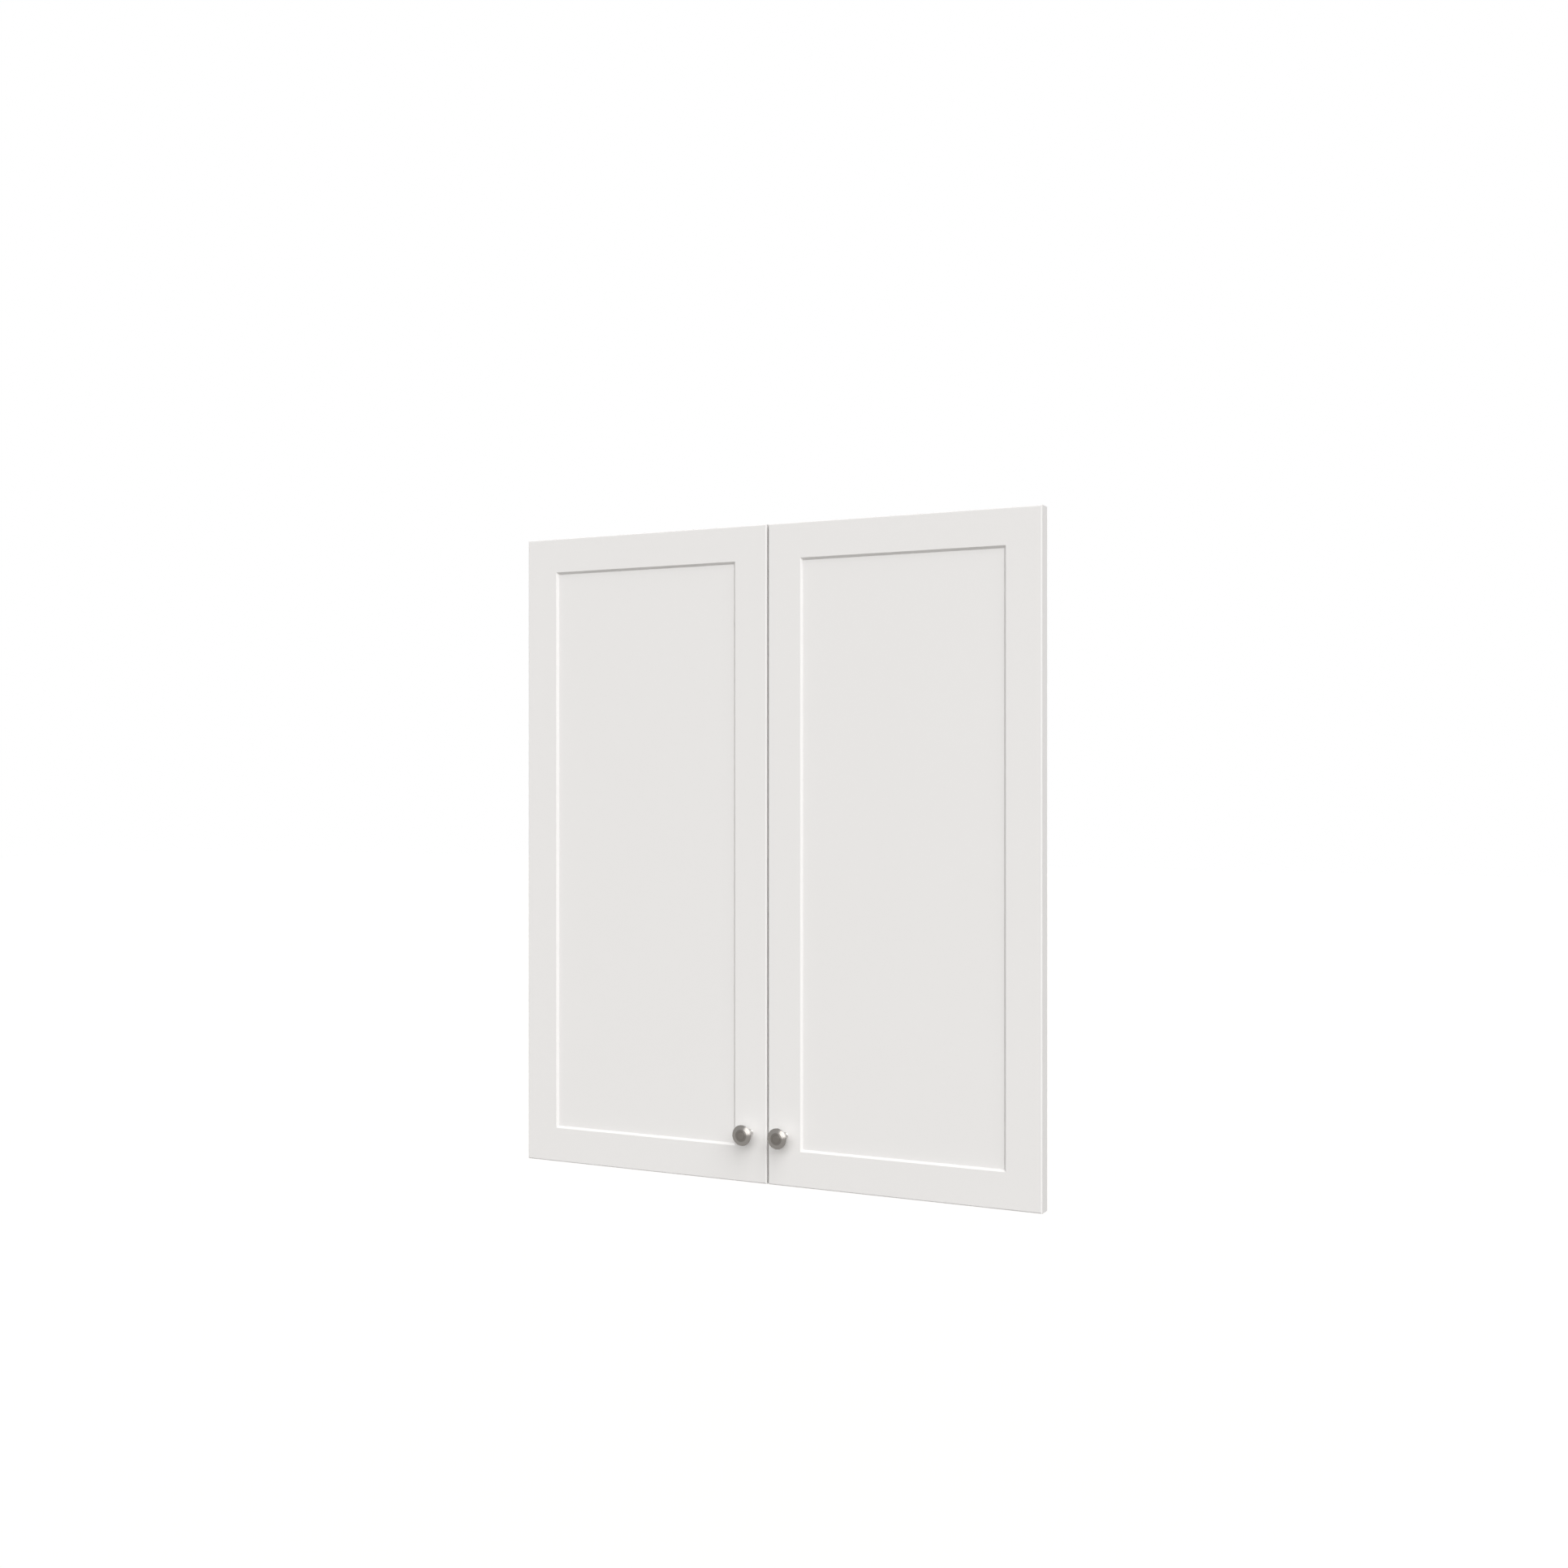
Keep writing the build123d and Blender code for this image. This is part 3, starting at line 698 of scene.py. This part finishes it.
def arm_seats(side, kind, height):
    node = f"{side}_{kind}"
    low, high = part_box(node)
    seat = high.x - height * MM if side == "left" else low.x + height * MM
    return [(seat, middle(node).y, middle(f"{side}_{level}_hinge_arm").z) for level in LEVELS]


# %% Screws
RECESS_WIDTH = 0.45
RECESS_DEPTH = 0.8
SCREW_TURNS = 48
SCREW_SHARP_ANGLE = 40


def make_screws(side, kind):
    head, height, shank, length = SCREW_SIZES[kind]
    on_door = kind in ("cup_screws", "knob_screw")
    seats = door_seats(side, kind, height) if on_door else arm_seats(side, kind, height)
    inwards = 1.0 if side == "left" else -1.0
    profile = screw_profile(head, height, shank, length)
    blank = bpy.data.objects.new("blank", turned(profile, FINISHES["plated_steel"], SCREW_TURNS))
    points = bpy.data.meshes.new("seats")
    points.from_pydata(seats, [], [])
    mesh = SCREWS.make(points, {
        "Blank": blank,
        "Head height": height,
        "Recess reach": head / 2,
        "Recess width": RECESS_WIDTH,
        "Recess depth": RECESS_DEPTH,
        "Axis": (0.0, 1.0, 0.0) if on_door else (inwards, 0.0, 0.0),
        "Seed": 7,
        "Finish": FINISHES["plated_steel"],
    })
    bpy.data.objects.remove(blank)
    smooth(mesh, SCREW_SHARP_ANGLE)
    return add_piece(f"{side}_driven_{kind}", mesh, f"{side}_{kind}")


for side in SIDES:
    for kind in SCREW_SIZES:
        piece = make_screws(side, kind)
        print(piece.name, len(piece.data.polygons))

# %% [markdown]
# ### The hinges
# Cups, arms and plates keep their solid's shape, but pressed and cast metal has no razor edges. To
# model them again would risk the fit that the solids have. So each is a copy of the solid's mesh,
# welded, with a Bevel modifier that rounds whatever is sharp and catches the light.

# %% Eased hinge metal
EASED = {"hinge_cup": 0.30, "hinge_arm": 0.30, "mounting_plate": 0.45}
WELD_DISTANCE = 0.005
FLAT_ANGLE = 1
HINGE_SHARP_ANGLE = 40


def eased_copy(node, width):
    mesh = nodes[node].data.copy()
    mesh.transform(nodes[node].matrix_world)
    work = bmesh.new()
    work.from_mesh(mesh)
    bmesh.ops.remove_doubles(work, verts=work.verts, dist=WELD_DISTANCE * MM)
    bmesh.ops.dissolve_limit(work, angle_limit=radians(FLAT_ANGLE), verts=work.verts, edges=work.edges)
    bmesh.ops.recalc_face_normals(work, faces=work.faces)
    work.to_mesh(mesh)
    work.free()
    smooth(mesh, HINGE_SHARP_ANGLE)
    piece = add_piece(node + "_eased", mesh, node)
    bevel = piece.modifiers.new("eased", "BEVEL")
    bevel.width = width * MM
    bevel.segments = 2
    bevel.limit_method = "ANGLE"
    bevel.angle_limit = radians(HINGE_SHARP_ANGLE)
    bevel.harden_normals = True
    return piece


for side in SIDES:
    for level in LEVELS:
        for kind, width in EASED.items():
            eased_copy(f"{side}_{level}_{kind}", width)
print("hinge pieces eased:", len(SIDES) * len(LEVELS) * len(EASED))

# %% [markdown]
# ## Floor
# Wall cabinets hang with their lower edge about 1.45 m above the floor, so the floor lies there. It is
# matt, and it adds a glow where the camera looks at it, so that it reads as white and still keeps the
# doors' shadow. Rays that metal mirrors, or that clear rubber lets through, see that glow as well, so
# the knobs and hinges show the same white surroundings as the camera does.

# %% Floor finish
FLOOR_DROP = 1.45
FLOOR_HALF = 40.0
FLOOR_COLOUR = (0.20, 0.190, 0.177, 1.0)
FLOOR_GLOW = 0.80
WHITE = (1.0, 1.0, 1.0, 1.0)


def background_rays(network):
    """1 for the rays that show the background: the camera's, and mirrored and passed-through ones."""
    camera = network.node("ShaderNodeLightPath", output="Is Camera Ray")
    mirrored = camera.sibling("Is Glossy Ray")
    return camera + camera.math("MAXIMUM", mirrored, camera.sibling("Is Transmission Ray"))


def floor_finish():
    finish = Finish("pale_floor")
    matt = finish.node("ShaderNodeBsdfDiffuse", {}, {"Color": FLOOR_COLOUR})
    shine = background_rays(finish) * FLOOR_GLOW
    glow = finish.node("ShaderNodeEmission", {}, {"Color": WHITE, "Strength": shine})
    finish.output(finish.node("ShaderNodeAddShader", {}, {0: matt, 1: glow}))
    return finish.material


# %% Floor
def make_floor():
    mesh = bpy.data.meshes.new("floor")
    corners = [(-1, -1), (1, -1), (1, 1), (-1, 1)]
    points = [(x * FLOOR_HALF, y * FLOOR_HALF, -FLOOR_DROP) for x, y in corners]
    mesh.from_pydata(points, [], [(0, 1, 2, 3)])
    mesh.materials.append(floor_finish())
    floor = bpy.data.objects.new("floor", mesh)
    bpy.context.collection.objects.link(floor)
    return floor


print("floor at", make_floor().data.vertices[0].co.z, "m")

# %% [markdown]
# ## Light
# The doors stand in plain soft studio light. Suns are used because their light doesn't fall off, so
# both doors get the same, and a wide sun is as soft as a large softbox. The one high on the right
# gives each bevel its bright or dark side.
# A narrower one, nearer the camera, gives each knob its highlight. A third, low behind on the left, keeps
# the backs of the doors from going dark, and the world fills the shadows. The same rays as on the floor
# see the world as white. Each lamp has a strength, the direction towards it and its width in degrees.

# %% World
FILL_STRENGTH = 0.40


def make_world():
    world = bpy.data.worlds.new("studio")
    bpy.context.scene.world = world
    world.use_nodes = True
    studio = Network(world.node_tree)
    shown = background_rays(studio)
    strength = shown + (1.0 - shown) * FILL_STRENGTH
    sky = studio.node("ShaderNodeBackground", {}, {"Color": WHITE, "Strength": strength})
    studio.node("ShaderNodeOutputWorld", {}, {"Surface": sky})
    return world


print("world:", make_world().name)

# %% Lamps
LAMPS = {
    "key": (2.195, (0.591, -0.439, 0.676), 56.0),
    "front": (1.25, (0.20, -0.93, 0.31), 40.0),
    "back": (1.90, (-0.38, 0.90, 0.20), 56.0),
}


def make_lamp(name, strength, towards, width):
    lamp = bpy.data.lights.new(name, "SUN")
    lamp.energy = strength
    lamp.angle = radians(width)
    stand = bpy.data.objects.new(name, lamp)
    stand.rotation_euler = Vector(towards).to_track_quat("Z", "Y").to_euler()
    bpy.context.collection.objects.link(stand)


for name, settings in LAMPS.items():
    make_lamp(name, *settings)
print("lamps:", ", ".join(LAMPS))

# %% [markdown]
# ## Camera
# The photograph's two vanishing lines give the camera: it stands level, to the right of the pair and a
# little above half its height. The lens follows from the frame, taken as a square on a 36 mm sensor.

# %% Camera
CAMERA_PLACE = (1.1608, -2.2985, 0.5559)
CAMERA_TURN = 26.5
LENS = 42.24
SENSOR = 36.0


def make_camera():
    camera = bpy.data.cameras.new("camera")
    camera.lens = LENS
    camera.sensor_width = SENSOR
    stand = bpy.data.objects.new("camera", camera)
    stand.location = CAMERA_PLACE
    stand.rotation_euler = (radians(90.0), 0.0, radians(CAMERA_TURN))
    bpy.context.collection.objects.link(stand)
    bpy.context.scene.camera = stand
    return stand


print("camera at", tuple(make_camera().location))
bpy.context.scene.view_settings.view_transform = "Standard"
